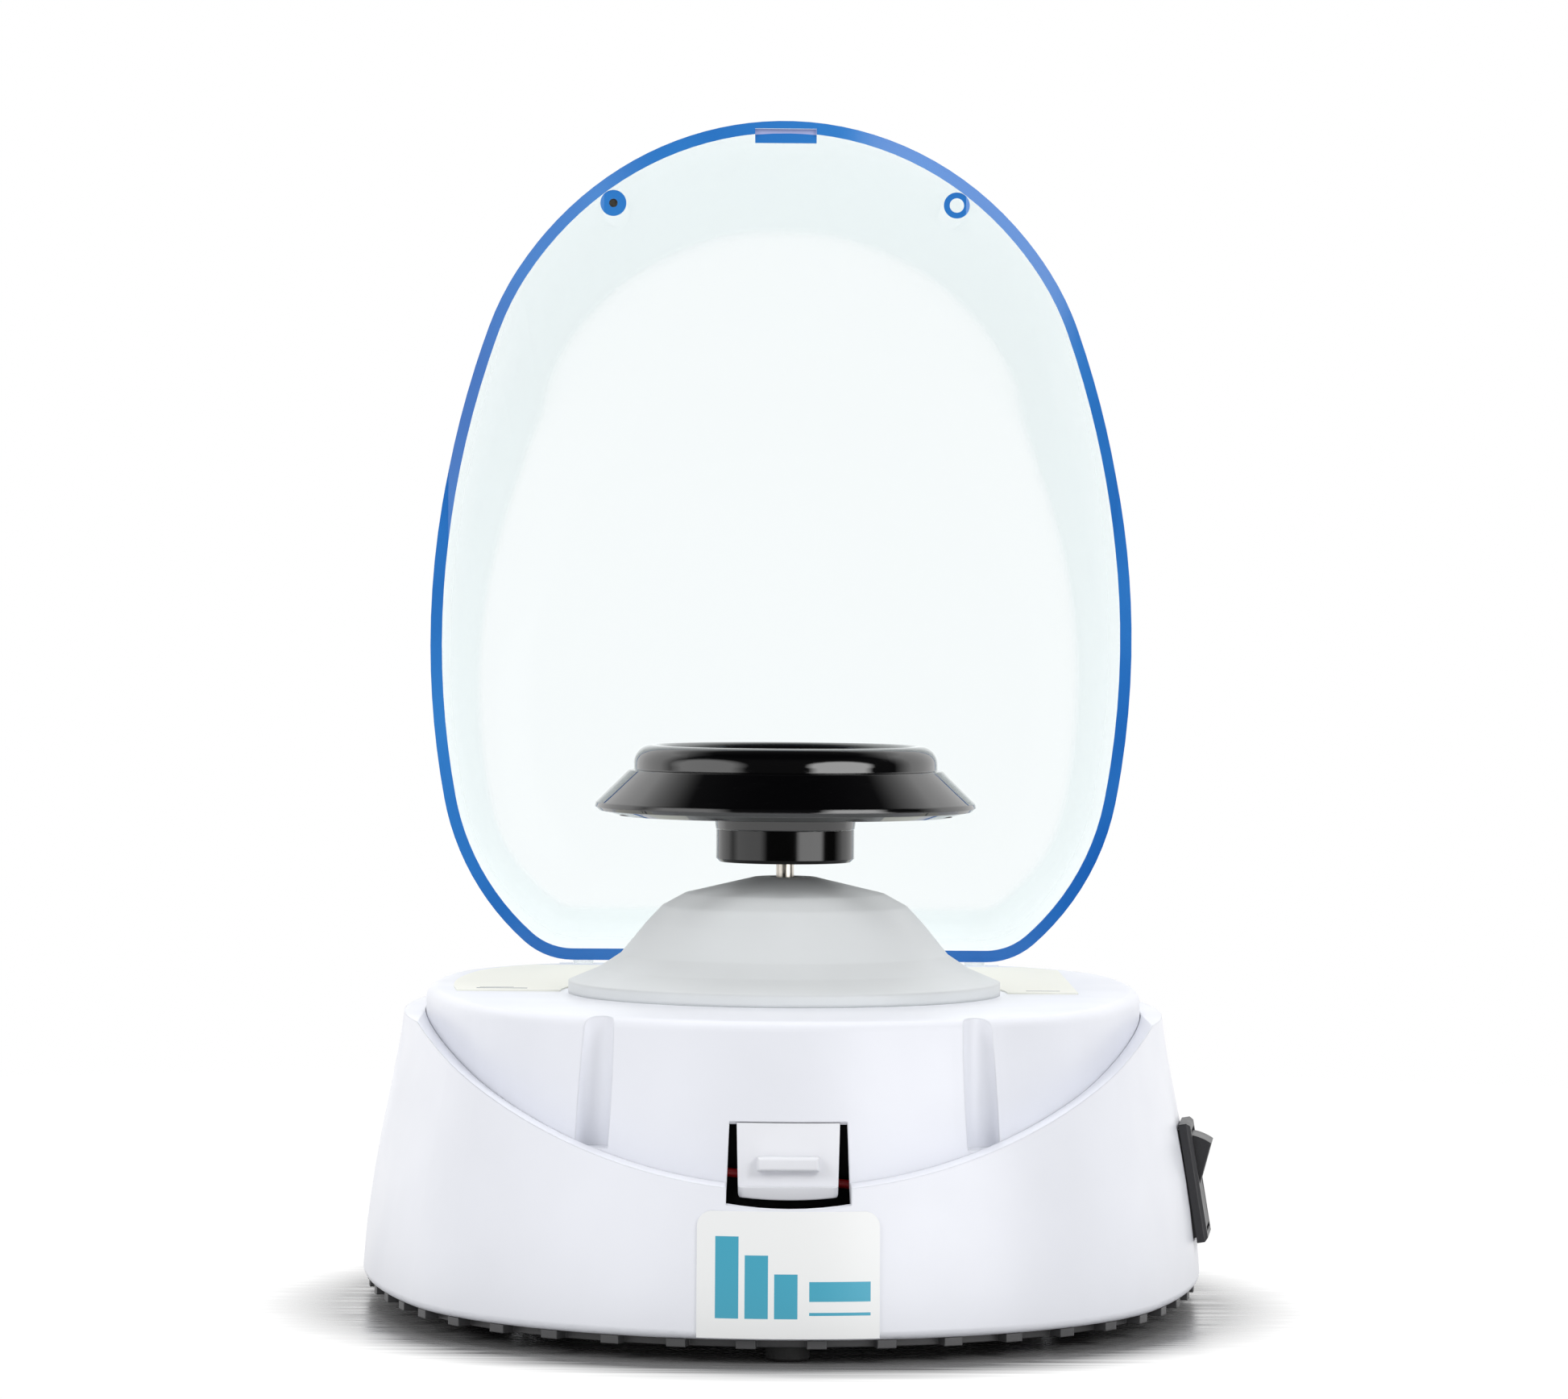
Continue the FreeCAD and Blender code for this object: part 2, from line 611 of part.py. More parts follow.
def rubber_feet():
    feet = []
    for x, y in FEET:
        foot = upright(FOOT_RADIUS, x, y, (0, PLATE_Z[0]))
        foot = foot.makeChamfer(0.5, [edge for edge in foot.Edges if edge.BoundBox.ZMax < 0.01])
        foot = foot.fuse(upright(FOOT_STEM_RADIUS, x, y, PLATE_Z))
        foot = foot.fuse(upright(FOOT_STEM_RADIUS + 1, x, y, (PLATE_Z[1], PLATE_Z[1] + 1.5)))
        feet.append(foot)
    return Part.makeCompound(feet)


def screw(x, y, head_z, tip_z, shank_radius, head_radius, head_height):
    """Pan-head screw with a cross slot; its head is outside head_z, on the far side from the tip."""
    outward = 1 if head_z > tip_z else -1
    top_z = head_z + outward * head_height
    body = upright(shank_radius, x, y, sorted((head_z, tip_z)))
    body = body.fuse(upright(head_radius, x, y, sorted((head_z, top_z))))
    slot_z = sorted((top_z, top_z - outward * head_height / 2))
    for half_x, half_y in ((head_radius * 0.6, 0.3), (0.3, head_radius * 0.6)):
        body = body.cut(box((x - half_x, x + half_x), (y - half_y, y + half_y), slot_z))
    return body


def housing_screws():
    return Part.makeCompound([screw(x, y, PLATE_Z[0], PLATE_Z[1] + 12, SCREW_RADIUS,
                                    SCREW_HEAD_RADIUS, 1.5) for x, y in HOUSING_SCREWS])


def dome_inner_profile():
    return [(max(radius - 0.35 * DOME_WALL, 0), z - 0.95 * DOME_WALL) for radius, z in DOME_PROFILE]


def motor_dome():
    edge_radius = DOME_PROFILE[-1][0]
    bore = [(DOME_HOLE_RADIUS, DOME_PROFILE[0][1] - DOME_WALL), (DOME_HOLE_RADIUS, DOME_PROFILE[0][1])]
    outer = bore + list(DOME_PROFILE) + [(edge_radius, DECK_Z)]
    inner = [(radius, z) for radius, z in dome_inner_profile() if z > DECK_Z + DOME_FLANGE]
    dome = turned(outer + [(DECK_HOLE_RADIUS - 0.5, DECK_Z)] + list(reversed(inner)))
    for x, y in dome_screw_spots():
        dome = dome.cut(upright(DOME_SCREW_RADIUS, x, y, (DECK_Z, DECK_Z + DOME_FLANGE + 0.2)))
    return dome


def dome_screws():
    return Part.makeCompound([screw(x, y, DECK_Z - HOUSING_WALL, DECK_Z + DOME_FLANGE,
                                    DOME_SCREW_RADIUS, 2.0, 1.3) for x, y in dome_screw_spots()])


def cradle_holes():
    return [polar(CRADLE_SCREW_CIRCLE, 45 + index * 90)[:2] for index in range(4)]


def motor_cradle():
    flange_z = (PLATE_Z[1], PLATE_Z[1] + CRADLE_FLANGE)
    cradle = turned((
        (CRADLE_BORE_RADIUS, flange_z[0]), (CRADLE_FLANGE_RADIUS, flange_z[0]),
        (CRADLE_FLANGE_RADIUS, flange_z[1]), (CRADLE_RADIUS, flange_z[1]),
        (CRADLE_RADIUS, CRADLE_TOP_Z), (SLEEVE_RADIUS, CRADLE_TOP_Z),
        (SLEEVE_RADIUS, MOTOR_SHELF_Z), (CRADLE_BORE_RADIUS, MOTOR_SHELF_Z)))
    cradle = cradle.cut(box((-7, 7), (8, 40), (flange_z[0], MOTOR_SHELF_Z)))
    for x, y in cradle_holes():
        cradle = cradle.cut(upright(SCREW_RADIUS, x, y, (0, 10)))
    return cradle


def cradle_screws():
    return Part.makeCompound([screw(x, y, PLATE_Z[1] + CRADLE_FLANGE, PLATE_Z[0] + 0.2,
                                    SMALL_SCREW_RADIUS, 2.6, 1.6) for x, y in cradle_holes()])


def motor_can():
    low, high = MOTOR_Z
    inner = MOTOR_RADIUS - CAN_WALL
    can = turned((
        (inner, low), (MOTOR_RADIUS, low), (MOTOR_RADIUS, high), (6, high), (6, high + 2.5),
        (BEARING_RADIUS, high + 2.5), (BEARING_RADIUS, high - 1.5), (inner, high - 1.5)))
    for side in (-1, 1):
        can = can.cut(box((-3, 3), sorted((side * 10, side * 20)), (high - 12, high - 6)))
    return can


def motor_end_cap():
    inner = MOTOR_RADIUS - CAN_WALL
    low = MOTOR_Z[0]
    cap = turned((
        (BEARING_RADIUS, MOTOR_SHELF_Z), (MOTOR_RADIUS, MOTOR_SHELF_Z), (MOTOR_RADIUS, low),
        (inner, low), (inner, low + 2), (BEARING_RADIUS, low + 2)))
    for side in (-1, 1):
        cap = cap.cut(box(sorted((side * 9.6, side * 10.4)), (-2.4, 2.4), (0, 20)))
    return cap


def motor_terminals():
    blade = box((9.6, 10.4), (-2.4, 2.4), (6.2, MOTOR_Z[0] + 2))
    return Part.makeCompound([blade, mirrored(blade)])


def motor_bearings():
    bore = SHAFT_RADIUS + BEARING_CLEARANCE
    low = ring(bore, BEARING_RADIUS, (MOTOR_SHELF_Z, MOTOR_Z[0] + 2))
    high = ring(bore, BEARING_RADIUS, (MOTOR_Z[1] - 1.5, MOTOR_Z[1] + 2.5))
    return Part.makeCompound([low, high])


def motor_magnets():
    outer = MOTOR_RADIUS - CAN_WALL
    magnet = ring(ARMATURE_RADIUS + 0.6, outer, (20, 54))
    magnet = magnet.cut(box((-outer, outer), (-5, 5), (0, 60)))
    return magnet


def motor_brushes():
    brush = box((3.9, 7.2), (-1.3, 1.3), (MOTOR_Z[0] + 2, MOTOR_Z[0] + 5.5))
    return Part.makeCompound([brush, mirrored(brush)])


def motor_sleeve():
    return ring(MOTOR_RADIUS, SLEEVE_RADIUS, (16, CRADLE_TOP_Z))


def motor_shaft():
    return upright(SHAFT_RADIUS, 0, 0, SHAFT_Z)


def motor_armature():
    stack = ring(SHAFT_RADIUS, ARMATURE_RADIUS, (24, 50))
    for index in range(ARMATURE_SLOTS):
        angle = index * 360 / ARMATURE_SLOTS
        slot = upright(2.6, 8.6, 0, (20, 55))
        slot = slot.fuse(box((8.6, 14), (-0.7, 0.7), (20, 55)))
        slot.rotate(Vector(), UP, angle)
        stack = stack.cut(slot)
    return stack


def motor_windings():
    coils = []
    for index in range(ARMATURE_SLOTS):
        coil = upright(2.5, 8.6, 0, (24, 50))
        coil.rotate(Vector(), UP, index * 360 / ARMATURE_SLOTS)
        coils.append(coil)
    top = ring(3.0, 11.2, (50, 54))
    bottom = ring(4.6, 11.2, (20.5, 24))
    winding = top.fuse(coils + [bottom])
    return winding


def motor_commutator():
    drum = ring(SHAFT_RADIUS, 3.85, (MOTOR_Z[0] + 2.3, 20))
    for index in range(ARMATURE_SLOTS):
        slit = box((2.6, 5), (-0.15, 0.15), (0, 18.6))
        slit.rotate(Vector(), UP, 36 + index * 360 / ARMATURE_SLOTS)
        drum = drum.cut(slit)
    return drum


def drive_hub():
    hub = turned((
        (SHAFT_RADIUS, HUB_Z[0]), (HUB_RADIUS - 0.6, HUB_Z[0]), (HUB_RADIUS, HUB_Z[0] + 0.6),
        (HUB_RADIUS, HUB_Z[1]), (SPIGOT_RADIUS, HUB_Z[1]), (SPIGOT_RADIUS, SPIGOT_TOP_Z - 0.6),
        (SPIGOT_RADIUS - 0.6, SPIGOT_TOP_Z), (0, SPIGOT_TOP_Z), (0, SHAFT_Z[1]),
        (SHAFT_RADIUS, SHAFT_Z[1])))
    half_groove = ORING_SECTION + 0.05
    groove_radius = SPIGOT_RADIUS + 0.07 - 2 * ORING_SECTION - 0.02
    return hub.cut(ring(groove_radius, SPIGOT_RADIUS + 1, (ORING_Z - half_groove, ORING_Z + half_groove)))


def hub_o_ring():
    centre_radius = SPIGOT_RADIUS + 0.07 - ORING_SECTION
    return Part.makeTorus(centre_radius, ORING_SECTION, Vector(0, 0, ORING_Z), UP)


def pocket_rod(radius, start, length):
    """Cylinder on the first tube pocket's axis, from a distance along it."""
    slant = Vector(1, 0, -1).normalize()
    mouth = Vector(POCKET_POINT[0], 0, POCKET_POINT[1])
    return Part.makeCylinder(radius, length, mouth + slant * start, slant)


def rotor_profile_face():
    """Half section of the rotor before its pockets."""
    crest_r, crest_z = CREST_CENTRE
    reach = CREST_RADIUS * math.sqrt(0.5)
    outer = Vector(crest_r + CREST_RADIUS, 0, crest_z)
    top = Vector(crest_r, 0, crest_z + CREST_RADIUS)
    inner = Vector(crest_r - reach, 0, crest_z + reach)
    floor_r = inner.x - (inner.z - ROTOR_FLOOR_Z)
    before = [(ROTOR_BORE_RADIUS, ROTOR_BOSS_TOP_Z), (ROTOR_BORE_RADIUS, 83.8), (12.3, 83.8),
              (12.6, ROTOR_UNDERSIDE_Z), (29.9, ROTOR_UNDERSIDE_Z), (33.0, 87.0), (33.7, 87.7),
              (33.5, 88.4), (27.7, 94.1), (26.8, 94.3)]
    after = [(floor_r, ROTOR_FLOOR_Z), (ROTOR_BOSS_RADIUS, ROTOR_FLOOR_Z),
             (ROTOR_BOSS_RADIUS, ROTOR_BOSS_TOP_Z), (ROTOR_BORE_RADIUS, ROTOR_BOSS_TOP_Z)]
    first = Part.makePolygon([Vector(r, 0, z) for r, z in before] + [outer])
    crest = Part.Arc(outer, top, inner).toShape()
    last = Part.makePolygon([inner] + [Vector(r, 0, z) for r, z in after])
    return Part.Face(Part.Wire(first.Edges + [crest] + last.Edges))


def tube_rotor():
    rotor = rotor_profile_face().revolve(Vector(), UP, 360)
    below = box((-50, 50), (-50, 50), (60, POCKET_END_Z))
    sleeve = pocket_rod(POCKET_SLEEVE_RADIUS, 2, 20).cut(below)
    hole = pocket_rod(POCKET_RADIUS, -20, 50)
    sleeves = []
    holes = []
    for index in range(POCKET_COUNT):
        angle = (index + 0.5) * 360 / POCKET_COUNT
        for tool, group in ((sleeve, sleeves), (hole, holes)):
            piece = tool.copy()
            piece.rotate(Vector(), UP, angle)
            group.append(piece)
    return rotor.fuse(sleeves).cut(holes)


def switch_housing():
    depth, width, height = BEZEL
    half_width, half_height = SWITCH_BODY_HALF
    bezel = box((0, depth), (-width / 2, width / 2), (-height / 2, height / 2))
    rim = [edge for edge in bezel.Edges if edge.BoundBox.XMin > depth - 0.01]
    bezel = bezel.makeChamfer(0.6, rim)
    body = box((-SWITCH_BODY_DEPTH, 0), (-half_width, half_width), (-half_height, half_height))
    open_width, open_height = SWITCH_OPENING_HALF
    cavity = box((-7, 3), (-open_width, open_width), (-open_height, open_height))
    pivot = rod(ROCKER_PIVOT_RADIUS + 0.05, Vector(-ROCKER_PIVOT_DEPTH, -6.3, 0),
                Vector(-ROCKER_PIVOT_DEPTH, 6.3, 0))
    return in_switch_frame(bezel.fuse(body).cut(cavity).cut(pivot))


def switch_rocker():
    """Rocker with a shallow V face, tipped so that its upper end stands out."""
    pivot = Vector(-ROCKER_PIVOT_DEPTH, -ROCKER_HALF_WIDTH, 0)

    def on_arc(degrees, side):
        angle = math.radians(degrees)
        return pivot + Vector(math.sin(angle), 0, side * math.cos(angle)) * ROCKER_RADIUS

    tip = ROCKER_FACE_TIP
    valley = pivot + Vector(ROCKER_VALLEY, 0, 0)
    edges = [
        Part.LineSegment(on_arc(0, -1), on_arc(0, 1)).toShape(),
        Part.Arc(on_arc(0, 1), on_arc(tip / 2, 1), on_arc(tip, 1)).toShape(),
        Part.LineSegment(on_arc(tip, 1), valley).toShape(),
        Part.LineSegment(valley, on_arc(tip, -1)).toShape(),
        Part.Arc(on_arc(tip, -1), on_arc(tip / 2, -1), on_arc(0, -1)).toShape(),
    ]
    rocker = Part.Face(Part.Wire(edges)).extrude(BACK * 2 * ROCKER_HALF_WIDTH)
    pins = rod(ROCKER_PIVOT_RADIUS, Vector(pivot.x, -6.2, 0), Vector(pivot.x, 6.2, 0))
    rocker = rocker.fuse(pins)
    rocker.rotate(Vector(pivot.x, 0, 0), BACK, ROCKER_SWING)
    return in_switch_frame(rocker)


def switch_terminals():
    blades = [box((-18, -SWITCH_BODY_DEPTH), (-2.4, 2.4), (z - 0.4, z + 0.4)) for z in (-5.5, 5.5)]
    return Part.makeCompound([in_switch_frame(blade) for blade in blades])


def power_jack():
    jack = jack_rod(JACK_BARREL_RADIUS, (JACK_START_Y, JACK_FACE_Y))
    jack = jack.fuse(jack_rod(JACK_FLANGE_RADIUS, (JACK_FACE_Y, JACK_FACE_Y + 1.6)))
    bore = jack_rod(JACK_BORE_RADIUS, (JACK_START_Y + 4, JACK_FACE_Y + 2))
    pin_hole = jack_rod(JACK_PIN_RADIUS, (JACK_START_Y + 1, JACK_START_Y + 5))
    return jack.cut(bore).cut(pin_hole)


def jack_pin():
    return jack_rod(JACK_PIN_RADIUS, (JACK_START_Y + 1, JACK_FACE_Y + 0.4))


def jack_nut():
    corners = []
    for index in range(7):
        spot = polar(JACK_NUT_RADIUS, index * 60)
        corners.append(Vector(JACK_X + spot.x, JACK_NUT_Y, JACK_Z + spot.y))
    nut = Part.Face(Part.makePolygon(corners)).extrude(BACK * (JACK_SEAT_Y - JACK_NUT_Y))
    return nut.cut(jack_rod(JACK_BARREL_RADIUS, (JACK_START_Y, JACK_FACE_Y)))


def board_holes():
    half_x = BOARD_SIZE[0] / 2 - BOARD_HOLE_INSET
    half_y = BOARD_SIZE[1] / 2 - BOARD_HOLE_INSET
    return [(side_x * half_x, BOARD_CENTRE_Y + side_y * half_y)
            for side_x in (-1, 1) for side_y in (-1, 1)]


BOARD_TOP_Z = BOARD_Z + BOARD_SIZE[2]


def control_board():
    half_x = BOARD_SIZE[0] / 2
    half_y = BOARD_SIZE[1] / 2
    board = box((-half_x, half_x), (BOARD_CENTRE_Y - half_y, BOARD_CENTRE_Y + half_y),
                (BOARD_Z, BOARD_TOP_Z))
    for x, y in board_holes():
        board = board.cut(upright(1.3, x, y, (BOARD_Z - 1, BOARD_TOP_Z + 1)))
    return board


def board_screws():
    return Part.makeCompound([screw(x, y, BOARD_TOP_Z, PLATE_Z[1] + 1, SMALL_SCREW_RADIUS, 2.3, 1.4)
                              for x, y in board_holes()])


def board_capacitor():
    can = upright(5, -12, BOARD_CENTRE_Y + 2, (BOARD_TOP_Z, BOARD_TOP_Z + 13))
    top = [edge for edge in can.Edges if edge.BoundBox.ZMin > BOARD_TOP_Z + 12.9]
    can = can.makeFillet(0.6, top)
    waist = BOARD_TOP_Z + 1.8
    groove = Part.makeTorus(5.2, 0.5, Vector(-12, BOARD_CENTRE_Y + 2, waist), UP)
    return can.cut(groove)


def board_transistor():
    package = box((8, 18.4), (BOARD_CENTRE_Y - 2, BOARD_CENTRE_Y + 2.5), (BOARD_TOP_Z + 3, BOARD_TOP_Z + 12))
    tag = box((8, 18.4), (BOARD_CENTRE_Y + 1.2, BOARD_CENTRE_Y + 2.5), (BOARD_TOP_Z + 12, BOARD_TOP_Z + 18))
    tag = tag.cut(rod(1.8, Vector(13.2, 40, BOARD_TOP_Z + 15), Vector(13.2, 70, BOARD_TOP_Z + 15)))
    legs = [box((x - 0.4, x + 0.4), (BOARD_CENTRE_Y - 0.2, BOARD_CENTRE_Y + 0.3),
                (BOARD_TOP_Z, BOARD_TOP_Z + 3)) for x in (10.7, 13.2, 15.7)]
    return package.fuse([tag] + legs)


CONNECTOR_SPOTS = ((-16.0, 64.0), (16.0, 62.0), (0.0, 40.0), (-17.0, 46.0))
CONNECTOR_HEIGHT = 6.0


def board_connectors():
    blocks = []
    for x, y in CONNECTOR_SPOTS:
        block = box((x - 4, x + 4), (y - 3, y + 3), (BOARD_TOP_Z, BOARD_TOP_Z + CONNECTOR_HEIGHT))
        for pin in (-1.8, 1.8):
            block = block.cut(upright(LEAD_RADIUS + 0.1, x + pin, y, (BOARD_TOP_Z + 3, BOARD_TOP_Z + 7)))
        blocks.append(block)
    return Part.makeCompound(blocks)


def connector_port(index, pin):
    """Bottom of one wire hole in a connector."""
    x, y = CONNECTOR_SPOTS[index]
    return Vector(x + pin * 1.8, y, BOARD_TOP_Z + 3.1)


def lead(points, bend=3.0, radius=LEAD_RADIUS):
    """Insulated wire along straight runs joined by tangent arcs."""
    edges = []
    start = points[0]
    for before, corner, after in zip(points, points[1:], points[2:]):
        into = (corner - before).normalize()
        out = (after - corner).normalize()
        turn = into.getAngle(out)
        reach = bend * math.tan(turn / 2)
        entry = corner - into * reach
        leave = corner + out * reach
        middle_way = (out - into).normalize()
        centre = corner + middle_way * (bend / math.cos(turn / 2))
        middle = centre - middle_way * bend
        edges.append(Part.LineSegment(start, entry).toShape())
        edges.append(Part.Arc(entry, middle, leave).toShape())
        start = leave
    edges.append(Part.LineSegment(start, points[-1]).toShape())
    path = Part.Wire(edges)
    section = Part.Wire(Part.makeCircle(radius, points[0], points[1] - points[0]))
    return path.makePipeShell([section], True, True)


def motor_leads():
    leads = []
    for pin in (-1, 1):
        port = connector_port(2, pin)
        leads.append(lead([Vector(pin * 9.0, 3.2, 7.4), Vector(pin * 4.4, 14.0, 7.4),
                           Vector(pin * 4.4, 31.5, 7.4), Vector(pin * 1.8, 32.4, 19.5),
                           port + UP * 8, port], bend=2.0))
    return Part.makeCompound(leads)


def switch_leads():
    leads = []
    for pin, height in ((-1, -5.5), (1, 5.5)):
        tip = in_switch_frame(Part.Vertex(-18.1, 0, height)).Point
        out = in_switch_frame(Part.Vertex(-24, 0, height)).Point
        port = connector_port(1, pin)
        leads.append(lead([tip, out, Vector(38 + pin * 1.5, 34, 24 + pin * 1.5),
                           port + UP * 9, port], bend=2.5))
    return Part.makeCompound(leads)


def jack_leads():
    leads = []
    for pin in (-1, 1):
        port = connector_port(0, pin)
        start = Vector(JACK_X + pin * 2.2, 75.9, JACK_Z + 1)
        leads.append(lead([start, start - BACK * 7, port + UP * 8, port], bend=2.0))
    return Part.makeCompound(leads)


SENSOR_X = (-33.0, -27.0)
SENSOR_Z = (30.0, 44.0)
SENSOR_Y = (-56.0, -51.5)


def lid_sensor():
    block = box(SENSOR_X, SENSOR_Y, SENSOR_Z)
    upright_edges = [edge for edge in block.Edges if edge.BoundBox.ZLength > 10]
    return block.makeFillet(0.8, upright_edges)


def sensor_leads():
    """Two leads from the lid sensor: one straight back, one round the front behind the release tab."""
    middle_x = sum(SENSOR_X) / 2
    port = connector_port(3, 1)
    far_port = connector_port(3, -1)
    front = lead([Vector(SENSOR_X[1] + 0.1, -53.7, 37), Vector(-21, -53.7, 37), Vector(-15.5, -67.3, 30.3),
                  Vector(16, -67.3, 27.3), Vector(22, -58, 27), Vector(31, -30, 30),
                  Vector(33, 22, 34), Vector(0, 30.5, 36), Vector(-19.2, 40, 34),
                  port + UP * 9, port], bend=2.0)
    rear = lead([Vector(middle_x, SENSOR_Y[1] + 0.1, 34), Vector(middle_x, -45, 34),
                 Vector(-32, 20, 28), far_port + UP * 9, far_port], bend=2.5)
    return Part.makeCompound([front, rear])


def front_label():
    """Thin label on the front of the lower housing, from near the tab down to the bottom edge."""
    half_width = 14.9
    top_z = TAB_GAP_BOTTOM_Z - 0.2
    corner = 2.5
    patch = box((-half_width, half_width), (-100, -60), (SKIRT_BOTTOM_Z + 0.4, top_z))
    corners = [edge for edge in patch.Edges
               if edge.BoundBox.ZMin > top_z - 0.01 and edge.BoundBox.YLength > 10]
    patch = patch.makeFillet(corner, corners)
    return skirt_solid(LABEL_THICKNESS).common(patch).cut(skirt_solid(0))


def deck_label():
    """Thin label on the deck either side of the motor dome and behind it."""
    z_range = (DECK_Z, DECK_Z + LABEL_THICKNESS)
    label = plan_slab(-8.0, z_range).common(box((-80, 52), (0, 70), z_range))
    return label.cut(upright(39.5, 0, 0, (50, 60)))


PIECES = (
    upper_housing, lower_housing, motor_dome, dome_screws, bottom_plate, housing_screws, rubber_feet,
    motor_cradle, cradle_screws, motor_sleeve, motor_can, motor_magnets, motor_end_cap,
    motor_bearings, motor_brushes, motor_terminals, motor_shaft, motor_armature, motor_windings,
    motor_commutator, drive_hub, hub_o_ring, tube_rotor, lid_shell, lid_magnet, hinge_pins,
    release_tab, tab_dust_shield, switch_housing, switch_rocker, switch_terminals, power_jack,
    jack_pin, jack_nut, control_board, board_screws, board_capacitor, board_transistor,
    board_connectors, lid_sensor, sensor_leads, motor_leads, switch_leads, jack_leads,
    front_label, deck_label,
)


os.makedirs("parts", exist_ok=True)
for piece in PIECES:
    name = piece.__name__
    shape = piece()
    shape.exportStep("parts/" + name + ".step")
    print(f"{name:20s} solids {len(shape.Solids)} valid {shape.isValid()} volume {shape.Volume:.1f}")
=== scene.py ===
"""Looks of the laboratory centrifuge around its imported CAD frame, in metres.

Every piece keeps its CAD mesh and takes a node material. The lid alone is a copy, because its
edges show blue. Measures of the lid and of the labels are in millimetres.
"""
import math

import bpy
from mathutils import Matrix, Vector


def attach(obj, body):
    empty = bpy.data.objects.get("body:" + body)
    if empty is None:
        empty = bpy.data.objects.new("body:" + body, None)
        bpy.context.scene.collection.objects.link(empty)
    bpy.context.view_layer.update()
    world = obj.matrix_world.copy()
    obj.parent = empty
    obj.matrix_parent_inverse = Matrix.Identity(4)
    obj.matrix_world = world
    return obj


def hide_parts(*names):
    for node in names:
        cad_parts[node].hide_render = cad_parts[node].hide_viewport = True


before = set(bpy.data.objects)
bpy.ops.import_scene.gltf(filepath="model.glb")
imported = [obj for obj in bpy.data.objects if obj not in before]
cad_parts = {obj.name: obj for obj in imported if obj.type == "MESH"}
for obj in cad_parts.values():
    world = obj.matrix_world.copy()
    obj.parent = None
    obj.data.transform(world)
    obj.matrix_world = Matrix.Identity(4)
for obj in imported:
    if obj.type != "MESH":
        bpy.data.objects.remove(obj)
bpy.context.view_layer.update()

MM = 0.001


def mesh_object(name, vertices, faces):
    """Mesh object from vertices in millimetres."""
    mesh = bpy.data.meshes.new(name)
    mesh.from_pydata([tuple(c * MM for c in v) for v in vertices], [], faces)
    mesh.validate()
    obj = bpy.data.objects.new(name, mesh)
    bpy.context.scene.collection.objects.link(obj)
    return obj


# ---------------------------------------------------------------- materials
def new_material(name, colour, roughness, **sockets):
    """Principled material: returns the material, its nodes and its shader."""
    material = bpy.data.materials.new(name)
    material.use_nodes = True
    nodes = material.node_tree.nodes
    shader = nodes["Principled BSDF"]
    shader.inputs["Base Color"].default_value = (*colour, 1.0)
    shader.inputs["Roughness"].default_value = roughness
    for socket, value in sockets.items():
        shader.inputs[socket.replace("_", " ")].default_value = value
    return material, material.node_tree, shader


def noise(tree, scale, detail=2.0, stretch=(1, 1, 1)):
    """Noise over the object, with its scale in cells per metre."""
    place = tree.nodes.new("ShaderNodeTexCoord")
    mapping = tree.nodes.new("ShaderNodeMapping")
    mapping.inputs["Scale"].default_value = stretch
    texture = tree.nodes.new("ShaderNodeTexNoise")
    texture.inputs["Scale"].default_value = scale
    texture.inputs["Detail"].default_value = detail
    tree.links.new(place.outputs["Object"], mapping.inputs["Vector"])
    tree.links.new(mapping.outputs["Vector"], texture.inputs["Vector"])
    return texture.outputs["Fac"]


def ramp(tree, value, low, high, out_low=0.0, out_high=1.0):
    """Value carried from one range to another, and held at its ends."""
    node = tree.nodes.new("ShaderNodeMapRange")
    node.inputs["From Min"].default_value = low
    node.inputs["From Max"].default_value = high
    node.inputs["To Min"].default_value = out_low
    node.inputs["To Max"].default_value = out_high
    tree.links.new(value, node.inputs["Value"])
    return node.outputs["Result"]


def add_grain(tree, shader, scale, strength, distance, detail=2.0, stretch=(1, 1, 1), edge=0.0):
    """Fine surface relief, with edges softened to a radius in millimetres."""
    bump = tree.nodes.new("ShaderNodeBump")
    if edge:
        softened = tree.nodes.new("ShaderNodeBevel")
        softened.samples = 6
        softened.inputs["Radius"].default_value = edge * MM
        tree.links.new(softened.outputs["Normal"], bump.inputs["Normal"])
    bump.inputs["Strength"].default_value = strength
    bump.inputs["Distance"].default_value = distance * MM
    tree.links.new(noise(tree, scale, detail, stretch), bump.inputs["Height"])
    tree.links.new(bump.outputs["Normal"], shader.inputs["Normal"])


def mix_colours(tree, factor, first, second):
    """Colour between two, each given as a tuple or as another node's output."""
    node = tree.nodes.new("ShaderNodeMix")
    node.data_type = "RGBA"
    for socket, value in (("A", first), ("B", second)):
        target = [s for s in node.inputs if s.name == socket and s.type == "RGBA"][0]
        if isinstance(value, tuple):
            target.default_value = (*value, 1.0)
        else:
            tree.links.new(value, target)
    tree.links.new(factor, node.inputs["Factor"])
    return [s for s in node.outputs if s.type == "RGBA"][0]


def add_mottle(tree, shader, first, second, scale):
    """Slow colour change over the surface."""
    factor = ramp(tree, noise(tree, scale, 3.0), 0.3, 0.7)
    tree.links.new(mix_colours(tree, factor, first, second), shader.inputs["Base Color"])


def add_rub(tree, shader, scale, low, high):
    """Roughness that changes in patches, as where hands polish a surface."""
    tree.links.new(ramp(tree, noise(tree, scale, 4.0), 0.35, 0.7, low, high), shader.inputs["Roughness"])


# Cells per metre of the slow colour change, the hand-polished patches and the grain.
MOTTLE_SCALE = 45
RUB_SCALE = 60
GRAIN_SCALE = 2600
GRAIN_DEPTH = 0.05
MOTTLE_SHADE = 0.965
RUB_RANGE = (0.85, 1.2)


